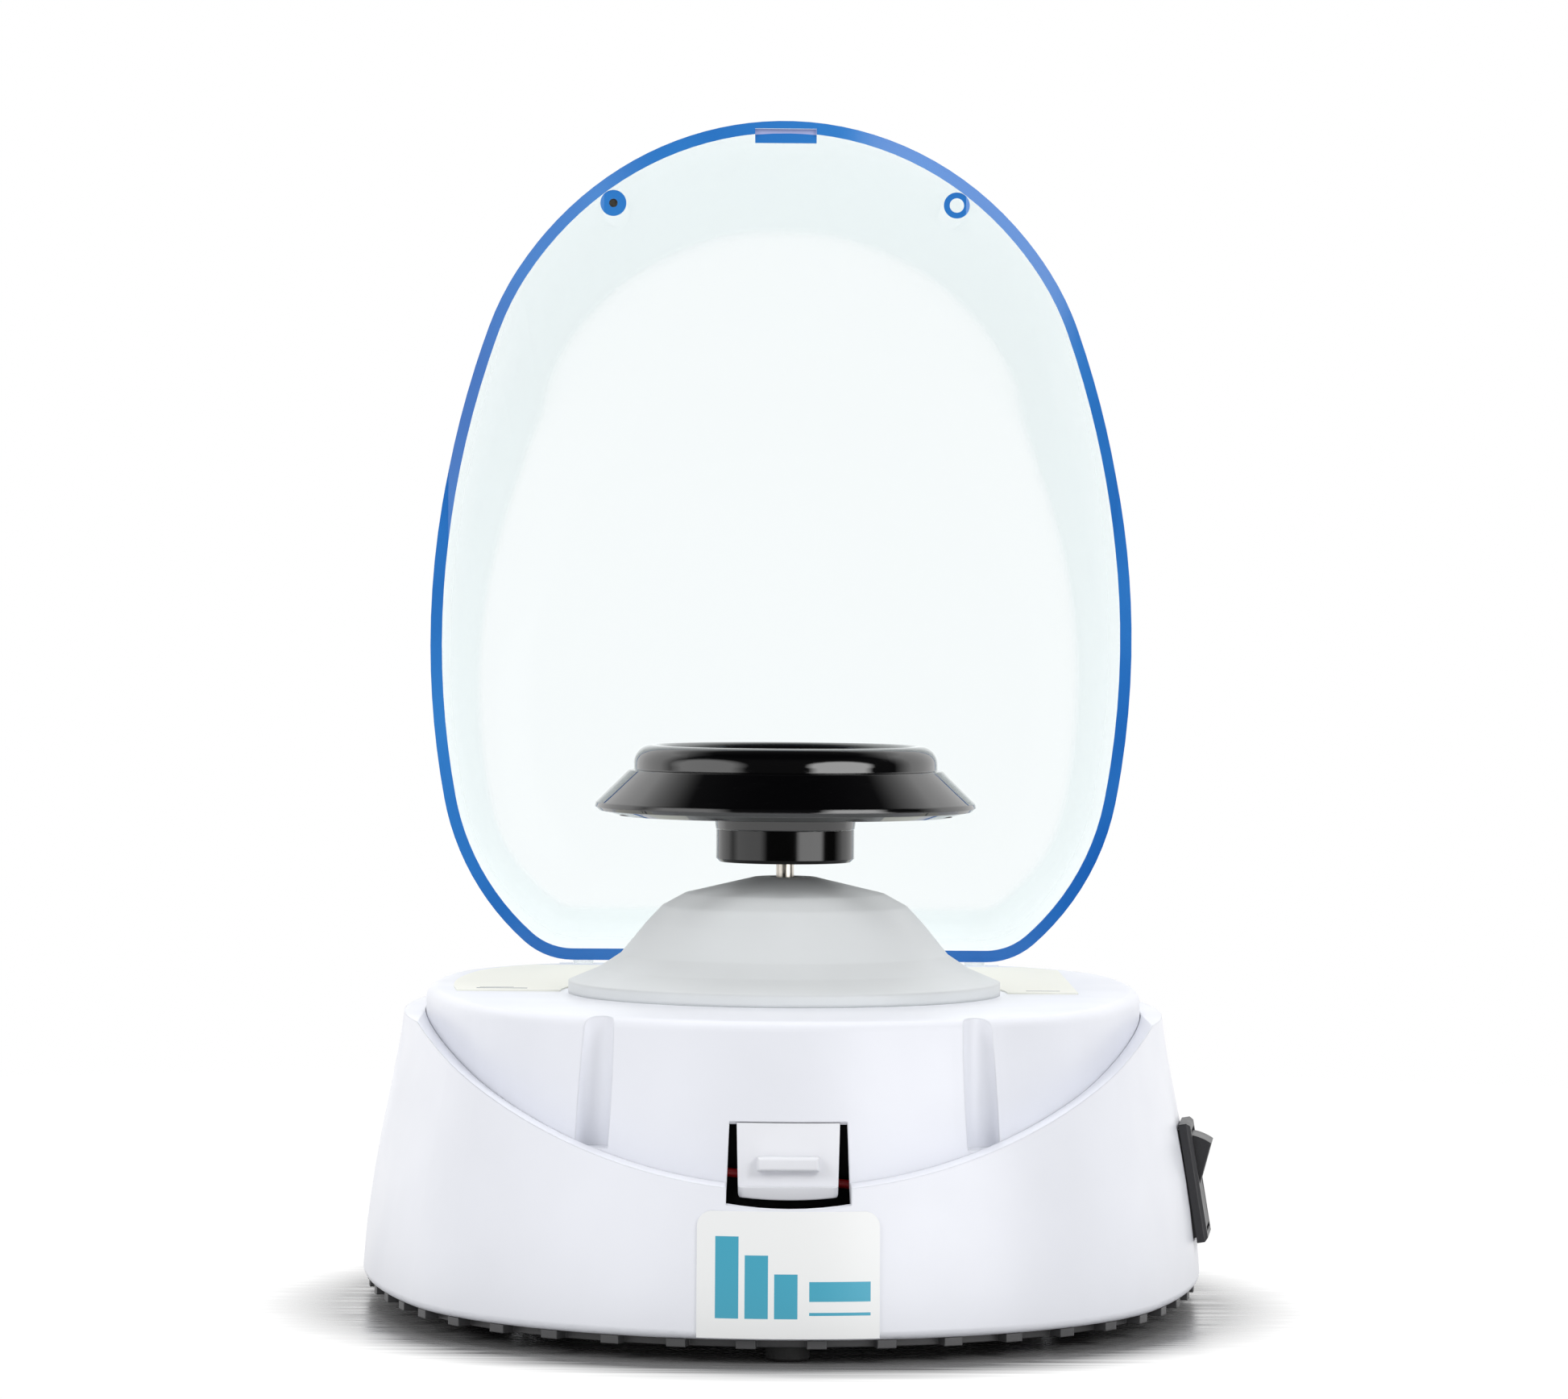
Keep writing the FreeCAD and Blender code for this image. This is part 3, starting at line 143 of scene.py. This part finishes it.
def moulded(name, colour, roughness, grain=0.15, edge=0.0, **sockets):
    """Moulded plastic with a fine spark-eroded grain."""
    material, tree, shader = new_material(name, colour, roughness, **sockets)
    shaded = tuple(c * MOTTLE_SHADE for c in colour)
    add_mottle(tree, shader, colour, shaded, MOTTLE_SCALE)
    add_rub(tree, shader, RUB_SCALE, *(roughness * part for part in RUB_RANGE))
    add_grain(tree, shader, GRAIN_SCALE, grain, GRAIN_DEPTH, edge=edge)
    return material


METAL_SHADE = 0.85
METAL_MOTTLE_SCALE = 300
METAL_GRAIN = 0.25
METAL_GRAIN_DEPTH = 0.03


def metal(name, colour, roughness, stretch=(1, 1, 1), scale=900):
    """Metal with turning or drawing marks."""
    material, tree, shader = new_material(name, colour, roughness, Metallic=1.0)
    shaded = tuple(c * METAL_SHADE for c in colour)
    add_mottle(tree, shader, colour, shaded, METAL_MOTTLE_SCALE)
    add_grain(tree, shader, scale, METAL_GRAIN, METAL_GRAIN_DEPTH, 3.0, stretch)
    return material


case_white = moulded("case_white", (0.80, 0.815, 0.87), 0.36, 0.10, edge=0.45)
tab_white = moulded("tab_white", (0.83, 0.84, 0.88), 0.32, 0.08, edge=0.35)
dome_white = moulded("dome_white", (0.76, 0.785, 0.795), 0.50, 0.05, edge=1.2)
# The bottom plate's near-black colour is painted shade, standing in for the shadow under the base.
plate_grey = moulded("plate_grey", (0.075, 0.075, 0.078), 0.45, 0.3, edge=0.3)
hub_black = moulded("hub_black", (0.0012, 0.0012, 0.0014), 0.10, 0.03, Specular_IOR_Level=0.5)
switch_black = moulded("switch_black", (0.020, 0.020, 0.023), 0.42, 0.5, edge=0.25)
shield_black = moulded("shield_black", (0.003, 0.003, 0.003), 0.8, 0.2)
rubber = moulded("rubber", (0.02, 0.02, 0.02), 0.75, 0.5)
dark_plastic = moulded("dark_plastic", (0.03, 0.03, 0.032), 0.5, 0.3)
connector = moulded("connector_plastic", (0.75, 0.72, 0.62), 0.45, 0.1)
red_lead = moulded("red_lead", (0.45, 0.006, 0.008), 0.35, 0.05)
black_lead = moulded("black_lead", (0.012, 0.012, 0.012), 0.4, 0.05)
steel = metal("steel", (0.60, 0.56, 0.50), 0.22, (1, 1, 12), 2500)
zinc = metal("zinc", (0.66, 0.67, 0.69), 0.3)
brass = metal("brass", (0.75, 0.55, 0.24), 0.3)
copper = metal("copper", (0.72, 0.30, 0.14), 0.35, (1, 1, 30), 3000)
laminated = metal("laminated", (0.20, 0.20, 0.21), 0.45, (0.05, 0.05, 20), 300)
board_green = moulded("board_green", (0.01, 0.09, 0.035), 0.3, 0.1)


def gloss_black():
    """Polished black moulding with faint handling marks."""
    material, tree, shader = new_material("rotor_black", (0.0015, 0.0015, 0.0018), 0.05)
    shader.inputs["Specular IOR Level"].default_value = 1.0
    marks = ramp(tree, noise(tree, 260, 6.0, (1, 1, 3)), 0.55, 0.75, 0.05, 0.16)
    tree.links.new(marks, shader.inputs["Roughness"])
    add_grain(tree, shader, 500, 0.02, 0.02, 4.0, edge=0.4)
    return material


LID_SOFT_RADIUS = 7.0
LID_VEIL = (0.03, 0.40)


def lid_clear():
    """Clear polished plastic: a faint cool tint, mirroring more where it is seen edge on."""
    material, tree, shader = new_material("lid_clear", (0.90, 0.975, 0.98), 0.06)
    shader.inputs["Specular IOR Level"].default_value = 0.5
    add_grain(tree, shader, 40, 0.05, 0.3)
    through = tree.nodes.new("ShaderNodeBsdfTransparent")
    through.inputs["Color"].default_value = (0.972, 0.990, 0.992, 1.0)
    rounded = tree.nodes.new("ShaderNodeBevel")
    rounded.samples = 8
    rounded.inputs["Radius"].default_value = LID_SOFT_RADIUS * MM
    facing = tree.nodes.new("ShaderNodeFresnel")
    facing.inputs["IOR"].default_value = 1.35
    tree.links.new(rounded.outputs["Normal"], facing.inputs["Normal"])
    veil = ramp(tree, facing.outputs["Fac"], 0.0, 1.0, *LID_VEIL)
    mix = tree.nodes.new("ShaderNodeMixShader")
    tree.links.new(veil, mix.inputs["Fac"])
    tree.links.new(through.outputs["BSDF"], mix.inputs[1])
    tree.links.new(shader.outputs["BSDF"], mix.inputs[2])
    tree.links.new(mix.outputs["Shader"], tree.nodes["Material Output"].inputs["Surface"])
    return material


def lid_edge():
    """Blue look of the tinted plastic seen edge on."""
    material, tree, shader = new_material("lid_edge", (0.012, 0.15, 0.52), 0.16)
    shader.inputs["Specular IOR Level"].default_value = 0.5
    factor = ramp(tree, noise(tree, 22, 3.0), 0.3, 0.7)
    colour = mix_colours(tree, factor, (0.008, 0.12, 0.47), (0.035, 0.22, 0.62))
    tree.links.new(colour, shader.inputs["Base Color"])
    add_grain(tree, shader, 900, 0.08, 0.05)
    return material


rotor_black = gloss_black()
lid_plastic = lid_clear()
lid_blue = lid_edge()
lid_frosted = moulded("lid_frosted", (0.42, 0.46, 0.74), 0.3, 0.1)


def printed_label(name, paper, ink, bars, roughness):
    """Film label with generic printed bars."""
    material, tree, shader = new_material(name, paper, roughness)
    place = tree.nodes.new("ShaderNodeTexCoord")
    split = tree.nodes.new("ShaderNodeSeparateXYZ")
    tree.links.new(place.outputs["Object"], split.inputs["Vector"])

    def within(output, centre, half):
        """1 within half of the centre, or else 0."""
        node = tree.nodes.new("ShaderNodeMath")
        node.operation = "COMPARE"
        node.inputs[1].default_value = centre * MM
        node.inputs[2].default_value = half * MM
        tree.links.new(output, node.inputs[0])
        return node.outputs[0]

    total = None
    for axis, x, across, half_x, half_across in bars:
        both = tree.nodes.new("ShaderNodeMath")
        both.operation = "MULTIPLY"
        tree.links.new(within(split.outputs["X"], x, half_x), both.inputs[0])
        tree.links.new(within(split.outputs[axis], across, half_across), both.inputs[1])
        if total is None:
            total = both.outputs[0]
            continue
        either = tree.nodes.new("ShaderNodeMath")
        either.operation = "MAXIMUM"
        tree.links.new(total, either.inputs[0])
        tree.links.new(both.outputs[0], either.inputs[1])
        total = either.outputs[0]
    tree.links.new(mix_colours(tree, total, paper, ink), shader.inputs["Base Color"])
    add_grain(tree, shader, 1500, 0.06, 0.03)
    return material


# Printed bars: axis beside X, centre in X and on that axis, half size in X and on that axis.
FRONT_BARS = (("Z", -10.0, 14.2, 1.9, 6.6), ("Z", -5.2, 12.7, 1.9, 5.1), ("Z", -0.4, 11.2, 1.9, 3.6),
              ("Z", 8.4, 12.0, 5.0, 1.6), ("Z", 8.4, 8.4, 5.0, 0.25))
DECK_BARS = (("Y", -50.0, 4.5, 4.5, 0.7), ("Y", -51.0, 7.0, 3.0, 0.4), ("Y", 46.0, 4.5, 3.0, 0.5))
front_film = printed_label("front_film", (0.83, 0.84, 0.84), (0.06, 0.36, 0.50), FRONT_BARS, 0.32)
deck_film = printed_label("deck_film", (0.86, 0.86, 0.79), (0.10, 0.11, 0.16), DECK_BARS, 0.5)


def paint(obj, material):
    """Give a new mesh one material."""
    obj.data.materials.clear()
    obj.data.materials.append(material)
    return obj


# ---------------------------------------------------------------- lid, as in the CAD model
FRONT_Y = -76.167
LEDGE_Z = 50.5
DIP_RADIUS = 102.0
DIP_CENTRE_Z = 130.0
RIM_GAP = 0.4
RIM_RADIUS = DIP_RADIUS - RIM_GAP
HINGE_Y = 85.5
HINGE_Z = 51.5
BOSS_X = 32.3
BOSS_Y = -61.5
BOSS_REACH = 2.7
BOSS_RISE = 0.6
CATCH_Z = 29.3
CATCH_REACH = 6.0
CATCH_SPLIT = 2.2
END_TOLERANCE = 0.02
ARC_TOLERANCE = 0.03
FLAT_TOLERANCE = 0.01
CLEAR, BLUE, FROSTED = range(3)


def shut_place(point):
    """Place of a point of the open lid when the lid is shut, in millimetres."""
    x, y, z = point / MM
    return x, HINGE_Y + HINGE_Z - z, HINGE_Z - HINGE_Y + y


def on_rim(corners):
    """True for a face of the lid's rim, which is flat behind and an arc in front."""
    flat_z = LEDGE_Z + RIM_GAP
    on_arc = all(abs(math.hypot(x, DIP_CENTRE_Z - z) - RIM_RADIUS) < ARC_TOLERANCE
                 for x, _, z in corners)
    return on_arc or all(abs(z - flat_z) < FLAT_TOLERANCE for _, _, z in corners)


def on_boss_end(corners):
    """True for the flat end of one of the two round bosses."""
    boss_z = DIP_CENTRE_Z - math.sqrt(RIM_RADIUS ** 2 - BOSS_X ** 2) + BOSS_RISE
    return all(abs(z - boss_z) < END_TOLERANCE and math.hypot(abs(x) - BOSS_X, y - BOSS_Y) < BOSS_REACH
               for x, y, z in corners)


def on_catch(corners):
    """True for the underside of the latch catch."""
    return all(abs(z - CATCH_Z) < END_TOLERANCE and abs(x) < CATCH_REACH for x, _, z in corners)


def lid_slot(corners):
    """Which of the lid's three materials a face takes."""
    if on_rim(corners) or on_boss_end(corners):
        return BLUE
    if not on_catch(corners):
        return CLEAR
    middle_y = sum(y for _, y, _ in corners) / len(corners)
    return BLUE if middle_y > FRONT_Y + CATCH_SPLIT else FROSTED


def lid():
    """Lid with its rim, its bosses' ends and its catch showing blue, as clear plastic does on edge."""
    shell = bpy.data.objects.new("lid_shell_detail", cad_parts["lid_shell"].data.copy())
    bpy.context.scene.collection.objects.link(shell)
    shell.data.materials.clear()
    for material in (lid_plastic, lid_blue, lid_frosted):
        shell.data.materials.append(material)
    for polygon in shell.data.polygons:
        corners = [shut_place(shell.data.vertices[i].co) for i in polygon.vertices]
        polygon.material_index = lid_slot(corners)
    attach(shell, "lid")
    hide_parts("lid_shell")


CAD_MATERIALS = {
    "dome_screws": zinc, "housing_screws": zinc, "cradle_screws": zinc, "board_screws": zinc,
    "bottom_plate": plate_grey, "rubber_feet": rubber, "motor_cradle": dark_plastic,
    "motor_sleeve": rubber, "motor_can": zinc, "motor_magnets": laminated,
    "motor_end_cap": dark_plastic, "motor_bearings": brass, "motor_brushes": dark_plastic,
    "motor_terminals": brass, "motor_shaft": steel, "motor_armature": laminated,
    "motor_windings": copper, "motor_commutator": copper, "hub_o_ring": rubber,
    "lid_magnet": steel, "hinge_pins": steel, "tab_dust_shield": shield_black,
    "switch_terminals": brass, "jack_pin": steel, "jack_nut": zinc, "control_board": board_green,
    "board_capacitor": dark_plastic, "board_transistor": dark_plastic,
    "board_connectors": connector, "lid_sensor": dark_plastic, "sensor_leads": red_lead,
    "motor_leads": black_lead, "switch_leads": black_lead, "jack_leads": black_lead,
    "front_label": front_film, "deck_label": deck_film, "lower_housing": case_white,
    "upper_housing": case_white, "motor_dome": dome_white, "tube_rotor": rotor_black,
    "drive_hub": hub_black, "release_tab": tab_white, "switch_housing": switch_black,
    "switch_rocker": switch_black, "power_jack": switch_black,
}


def paint_node(node, material):
    """Give a CAD node's object another material."""
    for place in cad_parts[node].material_slots:
        place.link = "OBJECT"
        place.material = material


for node_name, node_material in CAD_MATERIALS.items():
    paint_node(node_name, node_material)


# ---------------------------------------------------------------- stage, light and camera
# Painted shade on the floor: dark grey within an ellipse of these half sizes in millimetres, fading to
# the white glow between these multiples of it.
SHADE_PAINT_FOOTPRINT = (76.0, 86.0)
SHADE_PAINT_FADE = (1.03, 1.20)
FLOOR_RINGS = (20.0, 200.0, 500.0)
FLOOR_SIDES = 96
FLOOR_GLOW = 1.02
STREAK_SCALE = 30
STREAK_STRETCH = (0.6, 14, 1)


def floor():
    """Polished table: near the centrifuge its colour is a dark grey painted as shade, over its real
    shadow and reflection there, and away from it an even white glow.
    """
    turns = [2 * math.pi * i / FLOOR_SIDES for i in range(FLOOR_SIDES)]
    vertices = [(r * math.cos(turn), r * math.sin(turn), 0.0) for r in FLOOR_RINGS for turn in turns]
    faces = [list(range(FLOOR_SIDES))]
    for ring in range(len(FLOOR_RINGS) - 1):
        inner = ring * FLOOR_SIDES
        outer = inner + FLOOR_SIDES
        for i in range(FLOOR_SIDES):
            j = (i + 1) % FLOOR_SIDES
            faces.append((inner + i, outer + i, outer + j, inner + j))
    table = mesh_object("studio_floor", vertices, faces)
    # This dark grey colour is painted shade round the centrifuge; the mix below turns it into the white
    # glow away from it.
    material, tree, shader = new_material("floor_white_with_painted_shade", (0.26, 0.26, 0.262), 0.30)
    shader.inputs["Specular IOR Level"].default_value = 0.9
    streaks = noise(tree, STREAK_SCALE, 4.0, STREAK_STRETCH)
    tree.links.new(ramp(tree, streaks, 0.3, 0.7, 0.16, 0.38), shader.inputs["Roughness"])
    place = tree.nodes.new("ShaderNodeTexCoord")
    footprint = tree.nodes.new("ShaderNodeMapping")
    footprint.inputs["Scale"].default_value = (*(1 / (half * MM) for half in SHADE_PAINT_FOOTPRINT), 1)
    length = tree.nodes.new("ShaderNodeVectorMath")
    length.operation = "LENGTH"
    tree.links.new(place.outputs["Object"], footprint.inputs["Vector"])
    tree.links.new(footprint.outputs["Vector"], length.inputs[0])
    wander = tree.nodes.new("ShaderNodeMath")
    wander.operation = "ADD"
    tree.links.new(length.outputs["Value"], wander.inputs[0])
    tree.links.new(ramp(tree, streaks, 0.3, 0.7, -0.03, 0.03), wander.inputs[1])
    fade = ramp(tree, wander.outputs[0], *SHADE_PAINT_FADE)
    glow = tree.nodes.new("ShaderNodeEmission")
    glow.inputs["Color"].default_value = (1, 1, 1, 1)
    glow.inputs["Strength"].default_value = FLOOR_GLOW
    mix = tree.nodes.new("ShaderNodeMixShader")
    tree.links.new(fade, mix.inputs["Fac"])
    tree.links.new(shader.outputs["BSDF"], mix.inputs[1])
    tree.links.new(glow.outputs["Emission"], mix.inputs[2])
    tree.links.new(mix.outputs["Shader"], tree.nodes["Material Output"].inputs["Surface"])
    return paint(table, material)


LIGHT_AIM = (0, 0, 0.07)
TOP_AIM = (0, 0, 0.05)


def area_light(name, place, aim, size, power):
    """Soft white light that polished surfaces don't mirror: the world shows them its windows."""
    light = bpy.data.lights.new(name, "AREA")
    light.shape = "RECTANGLE"
    light.size, light.size_y = size
    light.energy = power
    obj = bpy.data.objects.new(name, light)
    obj.location = place
    obj.rotation_euler = (Vector(aim) - Vector(place)).to_track_quat("-Z", "Y").to_euler()
    obj.visible_glossy = False
    bpy.context.scene.collection.objects.link(obj)
    return obj


CAMERA_DISTANCE = 1.0127
CAMERA_LENS = 131.8
CAMERA_HEIGHT = 0.12465
CAMERA_PITCH = 0.01784
CAMERA_YAW = 0.01153
CAMERA_ROLL = 0.00678
CAMERA_SHIFT = -0.00038


def photo_camera():
    """Camera a metre in front and level with the lid's lower half, turned and tipped very slightly."""
    data = bpy.data.cameras.new("camera")
    data.sensor_fit = "HORIZONTAL"
    data.sensor_width = 36.0
    data.lens = CAMERA_LENS
    obj = bpy.data.objects.new("camera", data)
    obj.location = (CAMERA_SHIFT - CAMERA_DISTANCE * math.sin(CAMERA_YAW),
                    -CAMERA_DISTANCE * math.cos(CAMERA_YAW), CAMERA_HEIGHT)
    level = Matrix.Rotation(-CAMERA_YAW, 3, "Z") @ Matrix.Rotation(math.pi / 2 - CAMERA_PITCH, 3, "X")
    obj.rotation_euler = (level @ Matrix.Rotation(CAMERA_ROLL, 3, "Z")).to_euler()
    bpy.context.scene.collection.objects.link(obj)
    bpy.context.scene.camera = obj
    return obj


WORLD_SEEN = 1.0
WORLD_LIGHT = 0.50
BACK_GLOW = 1.25
FRONT_GLOW = 0.03
BACK_FADE = (0.0, 0.35)
ZENITH_FADE = (0.62, 0.86)
# What polished surfaces mirror besides the bright back: direction, cosines of fade, strength.
SOFT_WINDOWS = (
    ((0.66, -0.72, 0.16), (0.88, 0.93), 3.8),
    ((-0.88, -0.42, 0.12), (0.82, 0.92), 1.6),
)


def white_world():
    """White surround. Polished surfaces mirror a bright back, a dark front and two soft windows."""
    world = bpy.data.worlds.new("studio")
    world.use_nodes = True
    tree = world.node_tree
    background = tree.nodes["Background"]
    background.inputs["Color"].default_value = (1, 1, 1, 1)
    place = tree.nodes.new("ShaderNodeTexCoord")
    split = tree.nodes.new("ShaderNodeSeparateXYZ")
    tree.links.new(place.outputs["Generated"], split.inputs["Vector"])

    def combine(operation, first, second):
        node = tree.nodes.new("ShaderNodeMath")
        node.operation = operation
        tree.links.new(first, node.inputs[0])
        tree.links.new(second, node.inputs[1])
        return node.outputs[0]

    def blend_values(factor, low, high):
        node = tree.nodes.new("ShaderNodeMix")
        for socket, value in ((0, factor), (2, low), (3, high)):
            if isinstance(value, float):
                node.inputs[socket].default_value = value
            else:
                tree.links.new(value, node.inputs[socket])
        return node.outputs[0]

    behind = ramp(tree, split.outputs["Y"], *BACK_FADE, FRONT_GLOW, BACK_GLOW)
    low = ramp(tree, split.outputs["Z"], *ZENITH_FADE, 1.0, FRONT_GLOW)
    mirrored = combine("MULTIPLY", behind, low)
    for direction, cosines, strength in SOFT_WINDOWS:
        towards = tree.nodes.new("ShaderNodeVectorMath")
        towards.operation = "DOT_PRODUCT"
        towards.inputs[1].default_value = Vector(direction).normalized()
        tree.links.new(place.outputs["Generated"], towards.inputs[0])
        window = ramp(tree, towards.outputs["Value"], *cosines, 0.0, strength)
        mirrored = combine("ADD", mirrored, window)
    path = tree.nodes.new("ShaderNodeLightPath")
    strength = blend_values(path.outputs["Is Glossy Ray"], WORLD_LIGHT, mirrored)
    strength = blend_values(path.outputs["Is Camera Ray"], strength, WORLD_SEEN)
    tree.links.new(strength, background.inputs["Strength"])
    bpy.context.scene.world = world


def studio():
    """Surround, floor and three soft lights."""
    white_world()
    lights = [
        area_light("right_box", (0.62, -0.62, 0.62), LIGHT_AIM, (0.34, 0.40), 3.6),
        area_light("left_box", (-0.72, -0.52, 0.55), LIGHT_AIM, (0.36, 0.44), 2.9),
        area_light("top_box", (0, 0.25, 1.20), TOP_AIM, (0.9, 0.5), 6.5),
    ]
    floor()


lid()
studio()
photo_camera()
bpy.context.scene.view_settings.view_transform = "Standard"
